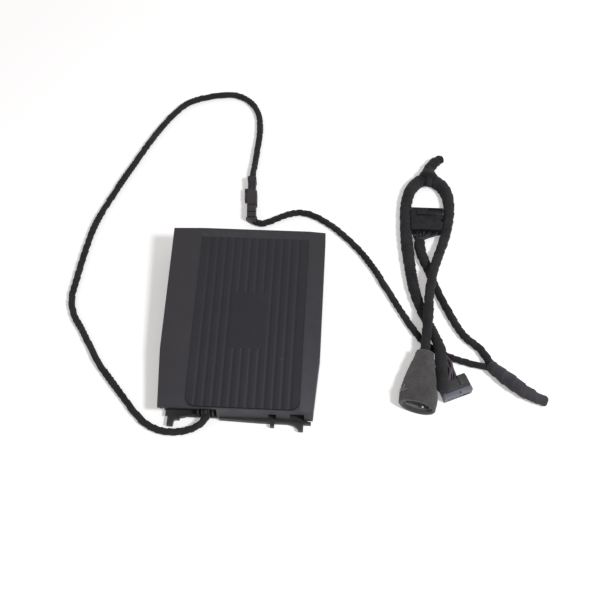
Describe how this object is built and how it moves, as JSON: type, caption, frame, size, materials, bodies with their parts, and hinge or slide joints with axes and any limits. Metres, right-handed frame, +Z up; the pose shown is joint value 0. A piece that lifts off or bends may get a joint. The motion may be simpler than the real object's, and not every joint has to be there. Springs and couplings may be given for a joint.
{
  "type": "sewing machine foot pedal",
  "caption": "Foot pedal with a hinged ribbed treadle, a rotary sensor inside and a taped lead harness with connectors.",
  "frame": {"origin": "centre of the pedal's own bounding box on the floor, measured without the lead harness", "axes": "+Z up, +Y from the heel towards the raised toe, +X across the pedal to the right"},
  "size_m": [0.4044, 0.3566, 0.0358],
  "materials": {
    "shell_plastic": "matte",
    "pad_rubber": "matte",
    "tray_plastic": "matte",
    "foot_rubber": "matte",
    "steel": "satin",
    "bright_pin": "polished",
    "board_green": "satin",
    "white_nylon": "satin",
    "component_blue": "satin",
    "component_black": "satin",
    "component_tan": "satin",
    "wire_sleeve": "satin",
    "cloth_tape": "matte",
    "plug_plastic": "satin",
    "foam_felt": "matte",
    "lock_grey": "satin",
    "harness_wire": "satin"
  },
  "bodies": {
    "base": {"base_tray": "tray_plastic", "rubber_feet": "foot_rubber", "hinge_rod": "steel", "rod_clips": "steel", "return_spring_left": "steel", "return_spring_right": "steel", "bump_stops": "foot_rubber", "circuit_board": "board_green", "board_screws": "steel", "lead_header": "white_nylon", "filter_capacitor": "component_blue", "control_chip": "component_black", "power_transistor": "component_black", "resistors": "component_tan", "sensor_bracket": "steel", "bracket_screws": "steel", "sensor_body": "component_blue", "sensor_nut": "steel", "sensor_wires": "wire_sleeve", "cord_grommet": "foot_rubber", "inner_lead": "cloth_tape", "cord_clamp": "tray_plastic", "clamp_screws": "steel", "inner_wires": "wire_sleeve", "pedal_lead": "cloth_tape", "inline_plug": "plug_plastic", "inline_socket": "plug_plastic", "extension_lead": "cloth_tape", "trunk_loop": "cloth_tape", "loop_tie": "cloth_tape", "flat_connector": "plug_plastic", "flat_wires": "harness_wire", "branch_lead": "cloth_tape", "splice_sleeve": "cloth_tape", "foam_sleeve": "foam_felt", "machine_plug": "plug_plastic", "plug_pins": "bright_pin", "multiway_connector": "plug_plastic", "multiway_lock": "lock_grey", "multiway_wires": "harness_wire"},
    "treadle": {"treadle_shell": "shell_plastic", "tread_pad": "pad_rubber", "drive_fork": "white_nylon", "fork_screws": "steel"},
    "lever": {"sensor_shaft": "steel", "sensor_lever": "white_nylon", "lever_pin": "steel"}
  },
  "joints": [
    {"name": "treadle_pivot", "type": "hinge", "parent": "base", "child": "treadle", "pos_m": [0, -0.066, 0.013], "axis": [-1, 0, 0], "range_deg": [0, 4], "stiffness_Nm_per_rad": 12, "springref_deg": -2.86, "deforming": ["return_spring_left", "return_spring_right"]},
    {"name": "sensor_pivot", "type": "hinge", "parent": "base", "child": "lever", "pos_m": [0, 0.014, 0.0135], "axis": [-1, 0, 0], "range_deg": [0, 20]}
  ],
  "couplings": [
    {"joint": "sensor_pivot", "follows": "treadle_pivot", "ratio": 5}
  ]
}
